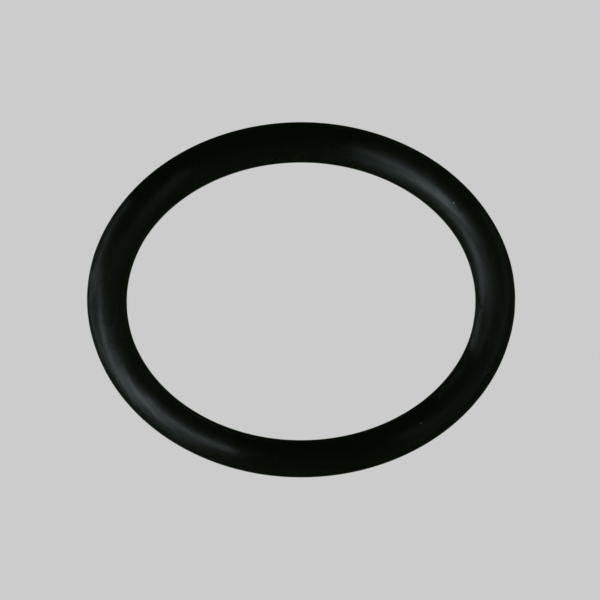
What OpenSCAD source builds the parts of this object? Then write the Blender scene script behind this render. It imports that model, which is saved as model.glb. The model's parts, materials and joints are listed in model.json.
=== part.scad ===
// Rubber o-ring of round section, lying flat.
// It is moulded between two mould halves that meet on its mid-plane, where the rubber that creeps between them
// is trimmed off. What the trimming leaves is a fine ridge round the inside of the ring and one round the outside.
// The origin is the centre of the ring on its mid-plane, and +Z is the ring's axis.

/* [Ring] */
// Inside diameter between the moulded walls, the size that the ring is ordered by
inside_d = 36; // [6:0.5:150]
// Diameter of the round section
section_d = 4; // [1:0.1:8]

/* [Parting ridges] */
// Height of the trimmed flash above the section, inside and outside
flash_h = 0.06; // [0.02:0.01:0.12]
// Width of the flash across its trimmed top
flash_top_w = 0.1; // [0.04:0.01:0.2]
// Lean of the flash's flanks, where the rubber fills the worn edges of the mould, in degrees
flank_lean = 40; // [0:5:50]

/* [Hidden] */
// Facets of the preview, round the ring and round its section
ring_facets = 240;
section_facets = 72;

// Radius of the circle that the centre of the section follows
centreline_r = (inside_d + section_d) / 2;
section_r = section_d / 2;
// Distances from the centre of the section to a ridge's trimmed top and to its foot, buried in the rubber
ridge_top_x = section_r + flash_h;
ridge_foot_x = section_r - flash_h;
ridge_foot_w = flash_top_w + 2 * tan(flank_lean) * (ridge_top_x - ridge_foot_x);

// The outer ridge, drawn about the centre of the section. Its flanks run on into the rubber, down to its foot.
module flash_ridge() {
    polygon([
        [ridge_foot_x, -ridge_foot_w / 2],
        [ridge_top_x, -flash_top_w / 2],
        [ridge_top_x, flash_top_w / 2],
        [ridge_foot_x, ridge_foot_w / 2],
    ]);
}

// The section as it leaves the mould and the trimming, drawn about its own centre
module moulded_section() {
    circle(d = section_d, $fn = section_facets);
    flash_ridge();
    rotate(180) flash_ridge();
}

module o_ring() {
    color([0.07, 0.075, 0.07])
        rotate_extrude($fn = ring_facets)
            translate([centreline_r, 0]) moulded_section();
}

o_ring();
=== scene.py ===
# %% [markdown]
# A moulded rubber o-ring
#
# The object is one piece: a ring of round section, pressed from black nitrile rubber between two
# mould halves. So little shape leaves the finish to carry the look. The satin skin keeps the fine
# turning marks of the mould, and where the mould halves met, the trimmed flash stands as a fine
# ridge inside and outside. This lesson grows the ring with Geometry Nodes, gives it a procedural
# rubber, and lights it with bent rows of soft panels, which are what its long streaks of light
# reflect.

# %% Load the measured frame
import json
import math

import bpy
from mathutils import Matrix, Vector


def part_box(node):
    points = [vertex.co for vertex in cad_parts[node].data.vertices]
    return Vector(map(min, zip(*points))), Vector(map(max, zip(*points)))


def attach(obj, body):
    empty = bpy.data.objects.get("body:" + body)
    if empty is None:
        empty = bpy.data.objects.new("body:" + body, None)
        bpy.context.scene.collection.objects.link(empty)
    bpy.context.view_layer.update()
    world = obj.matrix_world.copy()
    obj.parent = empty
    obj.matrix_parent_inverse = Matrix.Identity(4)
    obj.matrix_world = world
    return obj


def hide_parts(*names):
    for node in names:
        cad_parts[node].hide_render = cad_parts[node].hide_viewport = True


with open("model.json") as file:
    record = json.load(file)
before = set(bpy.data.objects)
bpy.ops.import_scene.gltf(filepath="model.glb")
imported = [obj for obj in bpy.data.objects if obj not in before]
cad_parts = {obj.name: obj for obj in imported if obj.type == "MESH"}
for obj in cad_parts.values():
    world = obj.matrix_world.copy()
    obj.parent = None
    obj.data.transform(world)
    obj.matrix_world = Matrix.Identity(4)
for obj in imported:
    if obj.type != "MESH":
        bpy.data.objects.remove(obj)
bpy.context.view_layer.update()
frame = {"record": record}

MM = 0.001
UM = 0.000001
RING_NODE = "o_ring"

# %% [markdown]
# The sizes
#
# Every size comes from the measured model: its box, and the two interfaces in its record, which
# lie on the trimmed flash. The section's own diameter is the height of the box, because the flash
# doesn't reach up there. The box is that of a mesh, which falls a few micrometres short of the
# true circle, so the radius taken from it is rounded to a tenth of a millimetre. What the
# interfaces add to the section is the height of the flash. At its root the flash is taken to be
# twice as wide as on top.

# %% Work the ring's sizes out from the frame
ROOT_OVER_TOP = 2

low, high = (Vector(corner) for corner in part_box(RING_NODE))
mounts = {mount["name"]: mount["dims"] for mount in frame["record"]["mounts"]}
over_flash_out = mounts["outside"]["r_mm"] * MM
over_flash_in = mounts["inside"]["r_mm"] * MM
flash_top_width = mounts["outside"]["length_mm"] * MM

ring_radius = (over_flash_out + over_flash_in) / 2
section_radius = round((high.z - low.z) / 2 / MM, 1) * MM
flash_height = over_flash_out - ring_radius - section_radius
flash_root_width = ROOT_OVER_TOP * flash_top_width
floor_z = -section_radius
print(f"ring radius {ring_radius / MM:.2f} mm, section {2 * section_radius / MM:.2f} mm across, "
      f"flash {flash_height / MM:.3f} mm high")

# %% [markdown]
# One helper for every node
#
# Node trees read best when each node is one line. The helper adds a node, sets its properties and
# fills its inputs: the plain ones in order, the others by name. A socket is linked, a value is
# set, and None leaves an input alone. A bare word in place of the properties is the node's
# operation. What comes back is the node's first output, so that calls can be nested, and any other
# output is reached through its node.

# %% Helpers for nodes and colours
def add(tree, kind, settings=None, *inputs, **named):
    node = tree.nodes.new(kind)
    if isinstance(settings, str):
        settings = {"operation": settings}
    for name, value in (settings or {}).items():
        setattr(node, name, value)
    pairs = [(node.inputs[index], value) for index, value in enumerate(inputs)]
    pairs += [(node.inputs[name.replace("_", " ")], value) for name, value in named.items()]
    for socket, value in pairs:
        if isinstance(value, bpy.types.NodeSocket):
            tree.links.new(value, socket)
        elif value is not None:
            socket.default_value = value
    return node.outputs[0] if node.outputs else node


def linear(hex_colour):
    """Linear RGBA of an sRGB hex colour such as 0x101210."""
    parts = [(hex_colour >> shift & 255) / 255 for shift in (16, 8, 0)]
    return (*(p / 12.92 if p <= 0.04045 else ((p + 0.055) / 1.055) ** 2.4 for p in parts), 1.0)


MATH = "ShaderNodeMath"
RANGE = "ShaderNodeMapRange"
NOISE = "ShaderNodeTexNoise"
COMBINE = "ShaderNodeCombineXYZ"
SEPARATE = "ShaderNodeSeparateXYZ"
VECTOR_MATH = "ShaderNodeVectorMath"
SMOOTH = {"interpolation_type": "SMOOTHSTEP"}

# %% [markdown]
# The camera
#
# The picture looks down on the ring from 54.65 degrees above its plane. The rubber looks a little
# thicker at the top of the picture, so that is the near side: the camera stands on the +Y side and
# is turned over by half a turn, which puts +X to the right and the near side at the top. How much
# thicker it looks gives the distance, 14 ring radii. The ring isn't quite in the middle of the
# picture, so the camera is moved sideways a little.

# %% Place the camera
CAMERA_ELEVATION = math.radians(54.65)
CAMERA_DISTANCE = 14.0 * ring_radius
PICTURE_PX = 600
RING_RADIUS_PX = 194.0
RING_CENTRE_PX = (301.1, 307.1)
SENSOR_MM = 36.0
NEAREST_SEEN = 10 * MM

towards_camera = Vector((0, math.cos(CAMERA_ELEVATION), math.sin(CAMERA_ELEVATION)))
picture_right = Vector((1, 0, 0))
picture_up = towards_camera.cross(picture_right)
metres_per_px = ring_radius / RING_RADIUS_PX
aim = (picture_right * (PICTURE_PX / 2 - RING_CENTRE_PX[0])
       - picture_up * (PICTURE_PX / 2 - RING_CENTRE_PX[1])) * metres_per_px

camera_data = bpy.data.cameras.new("view_from_above")
camera_data.sensor_width = SENSOR_MM
camera_data.lens = SENSOR_MM * CAMERA_DISTANCE / (PICTURE_PX * metres_per_px)
camera_data.clip_start = NEAREST_SEEN
camera = bpy.data.objects.new("view_from_above", camera_data)
bpy.context.scene.collection.objects.link(camera)
turn = Matrix((picture_right, picture_up, towards_camera)).transposed()
camera.matrix_world = Matrix.Translation(aim + towards_camera * CAMERA_DISTANCE) @ turn.to_4x4()
bpy.context.scene.camera = camera
print(f"lens {camera_data.lens:.1f} mm at {CAMERA_DISTANCE / MM:.0f} mm")

# %% [markdown]
# How the ring is grown
#
# On the bench a ring like this is one shot of rubber in a mould turned on a lathe. Here a torus
# primitive would be quick, but it has no parting line. A profile swept along a circle could carry
# one, but a circle's points are spaced evenly, and the flash is forty times finer than the
# section. So the ring is a flat grid whose points are sent to their places by a rule. Across the
# grid goes round the ring and up the grid goes round the section, and the rows crowd together
# where the flash stands, at the equator.
#
# The flash itself is a rise of the skin within a tenth of a millimetre of the mid-plane. Trimming,
# whether by tumbling the rings frozen or by a blade, never leaves it even, so a noise with a fixed
# seed lowers it here and there. The same rule writes the map "skin", in metres across the section
# and along the ring, for the finish.

# %% Build the Geometry Nodes tree for the ring
NOISE_SPAN = (0.3, 0.7)  # a noise seldom leaves it
TRIM_DETAIL, TRIM_ROUGHNESS = 5.0, 0.7


def ring_tree():
    tree = bpy.data.node_groups.new("moulded_ring", "GeometryNodeTree")
    sockets = {}
    for name, kind, value in (
        ("Ring Radius", "NodeSocketFloat", 20 * MM),
        ("Section Radius", "NodeSocketFloat", 2 * MM),
        ("Flash Height", "NodeSocketFloat", 0.06 * MM),
        ("Flash Top Width", "NodeSocketFloat", 0.1 * MM),
        ("Flash Root Width", "NodeSocketFloat", 0.2 * MM),
        ("Trim Wander", "NodeSocketFloat", 0.35),
        ("Trim Length", "NodeSocketFloat", 2.2 * MM),
        ("Crowding", "NodeSocketFloat", 0.9),
        ("Steps Round Ring", "NodeSocketInt", 720),
        ("Steps Round Section", "NodeSocketInt", 96),
        ("Seed", "NodeSocketInt", 7),
        ("Rubber", "NodeSocketMaterial", None),
    ):
        item = tree.interface.new_socket(name, in_out="INPUT", socket_type=kind)
        if value is not None:
            item.default_value = value
        sockets[name] = item.identifier
    tree.interface.new_socket("Geometry", in_out="OUTPUT", socket_type="NodeSocketGeometry")
    size = tree.nodes.new("NodeGroupInput").outputs

    # The flat grid, and the two angles that each of its points stands for
    columns = add(tree, MATH, "ADD", size["Steps Round Ring"], 1)
    rows = add(tree, MATH, "ADD", size["Steps Round Section"], 1)
    grid = add(tree, "GeometryNodeMeshGrid", None, 1.0, 1.0, columns, rows)
    place = add(tree, SEPARATE, None, grid.node.outputs["UV Map"]).node.outputs
    round_ring = add(tree, MATH, "MULTIPLY", place["X"], math.tau)
    evenly = add(tree, MATH, "MULTIPLY", place["Y"], math.tau)
    twice_round = add(tree, MATH, "MULTIPLY", evenly, 2.0)
    pull = add(tree, MATH, "MULTIPLY", add(tree, MATH, "SINE", twice_round),
               add(tree, MATH, "MULTIPLY", size["Crowding"], 0.5))
    round_section = add(tree, MATH, "SUBTRACT", evenly, pull)

    # The plain round section, about its own centre
    spoke = add(tree, COMBINE, None, size["Section Radius"])
    on_section = add(tree, "ShaderNodeVectorRotate", {"rotation_type": "Y_AXIS"}, Vector=spoke,
                     Angle=add(tree, MATH, "MULTIPLY", round_section, -1.0))
    section = add(tree, SEPARATE, None, on_section).node.outputs
    side = add(tree, MATH, "SIGN", section["X"])

    # The flash, at its height across its top and down to nothing at its root, trimmed unevenly
    out_to_skin = add(tree, MATH, "ADD", size["Ring Radius"], section["X"])
    noise_place = add(tree, "ShaderNodeVectorRotate", {"rotation_type": "Z_AXIS"},
                      Vector=add(tree, COMBINE, None, out_to_skin), Angle=round_ring)
    waves = add(tree, MATH, "DIVIDE", 1.0, size["Trim Length"])
    uneven = add(tree, NOISE, {"noise_dimensions": "4D"}, noise_place, size["Seed"], waves,
                 Detail=TRIM_DETAIL, Roughness=TRIM_ROUGHNESS)
    least_left = add(tree, MATH, "SUBTRACT", 1.0, size["Trim Wander"])
    share_left = add(tree, RANGE, None, uneven, *NOISE_SPAN, least_left, 1.0)
    rise = add(tree, RANGE, SMOOTH, add(tree, MATH, "ABSOLUTE", section["Z"]),
               add(tree, MATH, "MULTIPLY", size["Flash Root Width"], 0.5),
               add(tree, MATH, "MULTIPLY", size["Flash Top Width"], 0.5),
               0.0, add(tree, MATH, "MULTIPLY", size["Flash Height"], share_left))

    # Out to the ring's radius and round its axis
    outward = add(tree, MATH, "ADD", section["X"], add(tree, MATH, "MULTIPLY", side, rise))
    radius = add(tree, MATH, "ADD", size["Ring Radius"], outward)
    position = add(tree, "ShaderNodeVectorRotate", {"rotation_type": "Z_AXIS"}, Angle=round_ring,
                   Vector=add(tree, COMBINE, None, radius, 0.0, section["Z"]))

    # The map for the finish, then the closed and smooth mesh
    lengths = add(tree, COMBINE, None,
                  add(tree, MATH, "MULTIPLY", round_section, size["Section Radius"]),
                  add(tree, MATH, "MULTIPLY", round_ring, size["Ring Radius"]))
    mesh = add(tree, "GeometryNodeStoreNamedAttribute",
               {"data_type": "FLOAT2", "domain": "CORNER"}, grid, None, "skin", lengths)
    mesh = add(tree, "GeometryNodeSetPosition", None, mesh, None, position)
    mesh = add(tree, "GeometryNodeMergeByDistance", None, mesh, Distance=UM)
    mesh = add(tree, "GeometryNodeSetShadeSmooth", None, mesh)
    mesh = add(tree, "GeometryNodeRealizeInstances", None, mesh)
    mesh = add(tree, "GeometryNodeSetMaterial", None, mesh, Material=size["Rubber"])
    add(tree, "NodeGroupOutput", None, mesh)
    print("ring tree has", len(tree.nodes), "nodes")
    return tree, sockets


# %% [markdown]
# The skin of the rubber
#
# Rubber takes the surface of its mould. The mould's groove was turned on a lathe, so fine marks
# run round the ring, and they scatter light across the section far more than along the ring. That
# is what draws each panel's reflection out into a streak over the section and keeps it short along
# the ring. A strongly anisotropic gloss gives the streak, with the map "skin" as its grain. The
# marks themselves, and a finer grain that the rubber has in all directions, are a bump of a few
# micrometres.
#
# The bump is one height in micrometres, added up from three layers. Noise in object space is the
# same at every point of the ring's closed circle, so no seam shows where the grid's two ends meet.

# %% Heights of the moulded skin
MARK_PITCH = 0.14 * MM  # about three times coarser than a turned groove's, which wouldn't show
MARK_FADE = 3.0 * MM
FADE_SPAN = (0.35, 0.65)
FADED_SHARE = 0.3
GRAIN = 0.38 * MM
SWELL = 4.0 * MM
MARK_UM, GRAIN_UM, SWELL_UM = 2.4, 2.6, 5.0


def skin_height(tree, object_place, skin_map):
    """Height of the skin in micrometres: turning marks that come and go, grain, and the swell."""
    across = add(tree, SEPARATE, None, skin_map)
    marks = add(tree, NOISE, {"noise_dimensions": "1D"}, W=across, Scale=1 / MARK_PITCH, Detail=2.0)
    fade = add(tree, NOISE, None, object_place, Scale=1 / MARK_FADE, Detail=1.0)
    fade = add(tree, RANGE, None, fade, *FADE_SPAN, FADED_SHARE * MARK_UM, MARK_UM)
    marks = add(tree, MATH, "MULTIPLY", marks, fade)
    grain = add(tree, NOISE, None, object_place, Scale=1 / GRAIN, Detail=2.0)
    swell = add(tree, NOISE, None, object_place, Scale=1 / SWELL, Detail=1.0)
    height = add(tree, MATH, "MULTIPLY_ADD", grain, GRAIN_UM, marks)
    return add(tree, MATH, "MULTIPLY_ADD", swell, SWELL_UM, height)


# %% [markdown]
# What lies on the skin
#
# Rubber that has been stored is never quite even. Wax and antioxidant from within it come out as a
# thin bloom, which is a faint grey haze in soft patches. The trimmed top of the flash is torn or
# cut rubber, not moulded, so it is duller and paler than the skin. And black rubber is charged by
# handling and holds dust: the photograph shows three pale specks, two in the bright streak and one
# in the dark at the lower right.

# %% Masks of the bloom, the trimmed flash and the dust
BLOOM_PATCH = 6.0 * MM
BLOOM_SPAN = (0.3, 0.8)
SPECK_WIDTH = 0.11 * MM
SPECK_CORE = 0.3
NOISE_MEAN = 0.5
SPECKS = ((42.8, 70.0), (39.2, 102.0), (312.2, 127.0))  # degrees round the ring and its section


def bloom_mask(tree, object_place):
    patches = add(tree, NOISE, None, object_place, Scale=1 / BLOOM_PATCH, Detail=1.0)
    return add(tree, RANGE, SMOOTH, patches, *BLOOM_SPAN, 0.0, 1.0)


def trimmed_mask(tree, object_place):
    up = add(tree, SEPARATE, None, object_place).node.outputs["Z"]
    return add(tree, RANGE, SMOOTH, add(tree, MATH, "ABSOLUTE", up),
               0.5 * flash_root_width, 0.5 * flash_top_width, 0.0, 1.0)


def point_on_skin(round_ring, round_section):
    """Point of the round section's skin, from the angles round the ring and its section."""
    u, v = math.radians(round_ring), math.radians(round_section)
    radius = ring_radius + section_radius * math.cos(v)
    return Vector((radius * math.cos(u), radius * math.sin(u), section_radius * math.sin(v)))


def dust_mask(tree, object_place):
    ragged = add(tree, NOISE, None, object_place, Scale=1 / SPECK_WIDTH, Detail=1.0)
    ragged = ragged.node.outputs["Color"]
    reach = add(tree, VECTOR_MATH, "MULTIPLY_ADD", ragged, (SPECK_WIDTH,) * 3, object_place)
    mask = 0.0
    for speck in SPECKS:
        middle = point_on_skin(*speck) + Vector((NOISE_MEAN * SPECK_WIDTH,) * 3)
        away = add(tree, VECTOR_MATH, "DISTANCE", reach, middle).node.outputs["Value"]
        here = add(tree, RANGE, None, away, SPECK_WIDTH, SPECK_CORE * SPECK_WIDTH, 0.0, 1.0)
        mask = add(tree, MATH, "MAXIMUM", mask, here)
    return mask


# %% [markdown]
# The rubber
#
# Nitrile rubber filled with carbon black is among the darkest of plain materials, so nearly all
# that is seen of it is gloss. What little colour it has is a greenish black. Its index of
# refraction is that of many plastics. The finish is satin: smooth along the turning marks and
# rough across them.

# %% Make the moulded nitrile rubber
GREENISH_BLACK = 0x121B0C
BLOOM_GREY = 0x1C221A
TRIMMED_GREY = 0x2A2E2B
DUST = 0xB4BCBC
IOR_NITRILE = 1.52
ROUGHNESS_BARE, ROUGHNESS_BLOOM, ROUGHNESS_TRIMMED = 0.26, 0.30, 0.5
ACROSS_MARKS = 0.94
UP_TO_COLOURS = [None] * 5  # a mix node's inputs for numbers and vectors, before its two colours
MIXED_COLOUR = 2


def nitrile_rubber():
    # Satin black nitrile rubber: near black, with long soft streaks that tell the eye it is rubber
    material = bpy.data.materials.new("moulded_nitrile_rubber")
    material.use_nodes = True
    tree = material.node_tree
    tree.nodes.clear()
    object_place = add(tree, "ShaderNodeTexCoord").node.outputs["Object"]
    skin_map = add(tree, "ShaderNodeUVMap", {"uv_map": "skin"})
    bloom = bloom_mask(tree, object_place)
    trimmed = trimmed_mask(tree, object_place)
    dust = dust_mask(tree, object_place)

    colour = linear(GREENISH_BLACK)
    for mask, over in ((bloom, BLOOM_GREY), (trimmed, TRIMMED_GREY), (dust, DUST)):
        mix = add(tree, "ShaderNodeMix", {"data_type": "RGBA"}, mask, *UP_TO_COLOURS,
                  colour, linear(over))
        colour = mix.node.outputs[MIXED_COLOUR]
    roughness = add(tree, RANGE, None, bloom, 0.0, 1.0, ROUGHNESS_BARE, ROUGHNESS_BLOOM)
    roughness = add(tree, "ShaderNodeMix", {"data_type": "FLOAT"}, trimmed, None,
                    roughness, ROUGHNESS_TRIMMED)
    bump = add(tree, "ShaderNodeBump", None, Strength=1.0, Distance=UM,
               Height=skin_height(tree, object_place, skin_map))
    grain_line = add(tree, "ShaderNodeTangent", {"direction_type": "UV_MAP", "uv_map": "skin"})
    shader = add(tree, "ShaderNodeBsdfPrincipled", None, Base_Color=colour, Roughness=roughness,
                 IOR=IOR_NITRILE, Normal=bump, Anisotropic=ACROSS_MARKS, Tangent=grain_line)
    add(tree, "ShaderNodeOutputMaterial", None, shader)
    print("rubber has", len(tree.nodes), "nodes")
    return material


rubber = nitrile_rubber()

# %% [markdown]
# The ring itself
#
# The tree is hung on an empty mesh as a modifier, its inputs are set from the sizes, and what it
# grows is taken out as a plain mesh. From here on the ring is an ordinary object that stands in
# for the measured solid.

# %% Grow the ring and make it a plain mesh
def make_ring(material):
    tree, sockets = ring_tree()
    holder = bpy.data.objects.new("o_ring_grown", bpy.data.meshes.new("o_ring_grown"))
    bpy.context.scene.collection.objects.link(holder)
    grow = holder.modifiers.new("grow", "NODES")
    grow.node_group = tree
    for name, value in (
        ("Ring Radius", ring_radius),
        ("Section Radius", section_radius),
        ("Flash Height", flash_height),
        ("Flash Top Width", flash_top_width),
        ("Flash Root Width", flash_root_width),
        ("Rubber", material),
    ):
        grow[sockets[name]] = value
    grown = holder.evaluated_get(bpy.context.evaluated_depsgraph_get())
    mesh = bpy.data.meshes.new_from_object(grown)
    bpy.data.objects.remove(holder)
    mesh.name = "moulded_ring"
    piece = bpy.data.objects.new("moulded_ring", mesh)
    bpy.context.scene.collection.objects.link(piece)
    return piece


ring = make_ring(rubber)
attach(ring, "root")
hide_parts(RING_NODE)
print("ring has", len(ring.data.vertices), "points and", len(ring.data.polygons), "faces")

# %% [markdown]
# The ground
#
# The photograph's ground is one flat pale grey with no shadow on it, as on a lit acrylic panel.
# The ground here is a disc that bends up into a wall all round, so every view has the same plain
# pale ground behind the ring. It glows evenly. Along the line where the ring touches it, a contact
# shadow is painted into the glow, so narrow that the ring hides it from above, but a low view sees
# it and sees that the ring rests. The ring's flanks show no pale rim in the photograph, so the
# ground is kept out of reflections.

# %% Make the pale ground
GROUND = 0xCCCCCC
# The painted contact shadow: its darkest share of the glow, and how far it reaches from the line of
# contact
PAINTED_SHADOW_DARKEST, PAINTED_SHADOW_REACH = 0.25, 1.1 * MM
FLOOR_RADIUS = 0.9
BEND_RADIUS = 0.4
WALL_HEIGHT = 1.6
TURNS, BEND_STEPS = 96, 12


def lit_acrylic_with_painted_shadow():
    # Lit acrylic: an even pale glow, a plain ground to the eye, with a painted contact shadow that
    # dims it along the line of contact
    material = bpy.data.materials.new("lit_acrylic_with_painted_shadow")
    material.use_nodes = True
    tree = material.node_tree
    tree.nodes.clear()
    object_place = add(tree, "ShaderNodeTexCoord").node.outputs["Object"]
    flat = add(tree, VECTOR_MATH, "MULTIPLY", object_place, (1.0, 1.0, 0.0))
    from_axis = add(tree, VECTOR_MATH, "LENGTH", flat).node.outputs["Value"]
    from_contact = add(tree, MATH, "ABSOLUTE", add(tree, MATH, "SUBTRACT", from_axis, ring_radius))
    # Painted shadow: the glow is dimmed towards the ring's line of contact by distance alone, not
    # by light
    glow_with_painted_shadow = add(tree, RANGE, SMOOTH, from_contact, 0.0, PAINTED_SHADOW_REACH, PAINTED_SHADOW_DARKEST, 1.0)
    glow = add(tree, "ShaderNodeEmission", None, linear(GROUND), glow_with_painted_shadow)
    add(tree, "ShaderNodeOutputMaterial", None, glow)
    return material


def studio_ground():
    profile = [(FLOOR_RADIUS, 0.0)]
    for step in range(1, BEND_STEPS + 1):
        angle = math.pi / 2 * step / BEND_STEPS
        out, up = BEND_RADIUS * math.sin(angle), BEND_RADIUS * (1 - math.cos(angle))
        profile.append((FLOOR_RADIUS + out, up))
    profile.append((FLOOR_RADIUS + BEND_RADIUS, WALL_HEIGHT))
    points = [(0.0, 0.0, floor_z)]
    for out, up in profile:
        for k in range(TURNS):
            angle = math.tau * k / TURNS
            points.append((out * math.cos(angle), out * math.sin(angle), floor_z + up))
    faces = [(0, 1 + k, 1 + (k + 1) % TURNS) for k in range(TURNS)]
    for row in range(len(profile) - 1):
        for k in range(TURNS):
            here, beside = 1 + row * TURNS + k, 1 + row * TURNS + (k + 1) % TURNS
            faces.append((here, here + TURNS, beside + TURNS, beside))
    mesh = bpy.data.meshes.new("studio_ground")
    mesh.from_pydata(points, [], faces)
    mesh.shade_smooth()
    mesh.materials.append(lit_acrylic_with_painted_shadow())
    stage = bpy.data.objects.new("studio_ground", mesh)
    bpy.context.scene.collection.objects.link(stage)
    stage.visible_glossy = False
    stage.visible_diffuse = False
    stage.visible_shadow = False
    print("ground has", len(mesh.polygons), "faces")
    return stage


studio_ground()

# %% [markdown]
# The light
#
# On a ring every part of the skin faces its own way, so the streaks say where the light was. The
# crown line faces straight up all round, and it is bright only near 45 and 210 degrees. If the
# light were far away, the two sides would be alike but turned over, and they aren't: the left side
# has the longer and lower streak. So the studio had its softboxes near, each lighting one side
# more. Here they are bent rows of small soft panels with a grid before them, which keeps the light
# of each row near the part of the ring that it is aimed at. The two keys stand not far from where
# the flat crown mirrors the camera, at -90 degrees and 55 degrees up, and make the brightest part
# of each streak. The overhead rows draw the streaks out over the crown, and the low rows take them
# down the outer left side and the inner right side. The lowest panels stand below the ring's own
# level, for the light that the pale ground sends up to the flanks. A last row without a grid gives
# the faint glow at the upper left and, fainter still, at the lower right.
#
# The light is a cool white, because the streaks are bluish. The dark studio behind it all is a
# very dark green, as the darkest rubber in the photograph is.

# %% Light the ring
PANEL_DISTANCE = 0.4
PANEL_ACROSS = 0.05
PANEL_SPACING = 0.06
GRID_REACH = 25 * MM
CROWN = 90  # degrees round the section
AIM_INWARD = 0.9
COOL_WHITE = (0.75, 0.94, 1.0)
MILLIWATTS_IN_WATT = 1000


def direction(azimuth, elevation):
    """Unit vector towards an azimuth and an elevation in degrees."""
    around, up = math.radians(azimuth), math.radians(elevation)
    return Vector((math.cos(up) * math.cos(around), math.cos(up) * math.sin(around), math.sin(up)))


def panel_row(name, first, last, milliwatts, aim_round_ring=None):
    """Soft panels on an arc between two directions, with the power of the first and of the last.

    A row that is aimed at one part of the ring, given as an angle round it, has a grid that ends
    its light near there.
    """
    first, last = direction(*first), direction(*last)
    count = math.ceil(first.angle(last) * PANEL_DISTANCE / PANEL_SPACING) + 1
    gridded = aim_round_ring is not None
    aimed_at = AIM_INWARD * point_on_skin(aim_round_ring, CROWN) if gridded else Vector()
    for step in range(count):
        share = step / (count - 1)
        towards = first.slerp(last, share)
        power = milliwatts[0] + (milliwatts[1] - milliwatts[0]) * share
        data = bpy.data.lights.new(f"{name}_{step}", "AREA")
        data.shape = "DISK"
        data.size = PANEL_ACROSS
        data.color = COOL_WHITE
        data.energy = power / MILLIWATTS_IN_WATT
        if gridded:
            data.spread = 2 * math.atan(GRID_REACH / PANEL_DISTANCE)
        lamp = bpy.data.objects.new(data.name, data)
        lamp.location = aimed_at + towards * PANEL_DISTANCE
        lamp.rotation_euler = towards.to_track_quat("Z", "Y").to_euler()
        bpy.context.scene.collection.objects.link(lamp)


# Name, azimuth and elevation of both ends in degrees, milliwatts of both ends, and the aim
for row in (
    ("low_left", (-130, 40), (-155, 25), (0.05, 0.02), 165),
    ("outer_left", (-155, 5), (-185, -20), (0.05, 0.02), 120),
    ("middle_left", (-125, 40), (-110, 43), (0.06, 0.10), 180),
    ("key_left", (-70, 60), (-55, 60), (0.16, 0.03), 200),
    ("overhead_left", (-20, 55), (35, 60), (0.12, 0.09), 230),
    ("low_right", (-155, -20), (-105, 40), (0.04, 0.05), 10),
    ("key_right", (-75, 62), (-70, 62), (0.085, 0.085), 55),
    ("overhead_right", (-30, 65), (60, 55), (0.13, 0.01), 60),
    ("edge_right", (-80, 45), (0, -20), (0.007, 0.007), 45),
    ("faint", (-205, 50), (-115, 60), (2.0, 1.4)),
):
    panel_row(*row)

DARK_STUDIO = 0x243214
world = bpy.data.worlds.new("dark_studio")
world.use_nodes = True
world.node_tree.nodes["Background"].inputs[0].default_value = linear(DARK_STUDIO)
bpy.context.scene.world = world
bpy.context.scene.view_settings.view_transform = "Standard"
total_milliwatts = MILLIWATTS_IN_WATT * sum(light.energy for light in bpy.data.lights)
print(f"{len(bpy.data.lights)} panels with {total_milliwatts:.1f} mW in all")
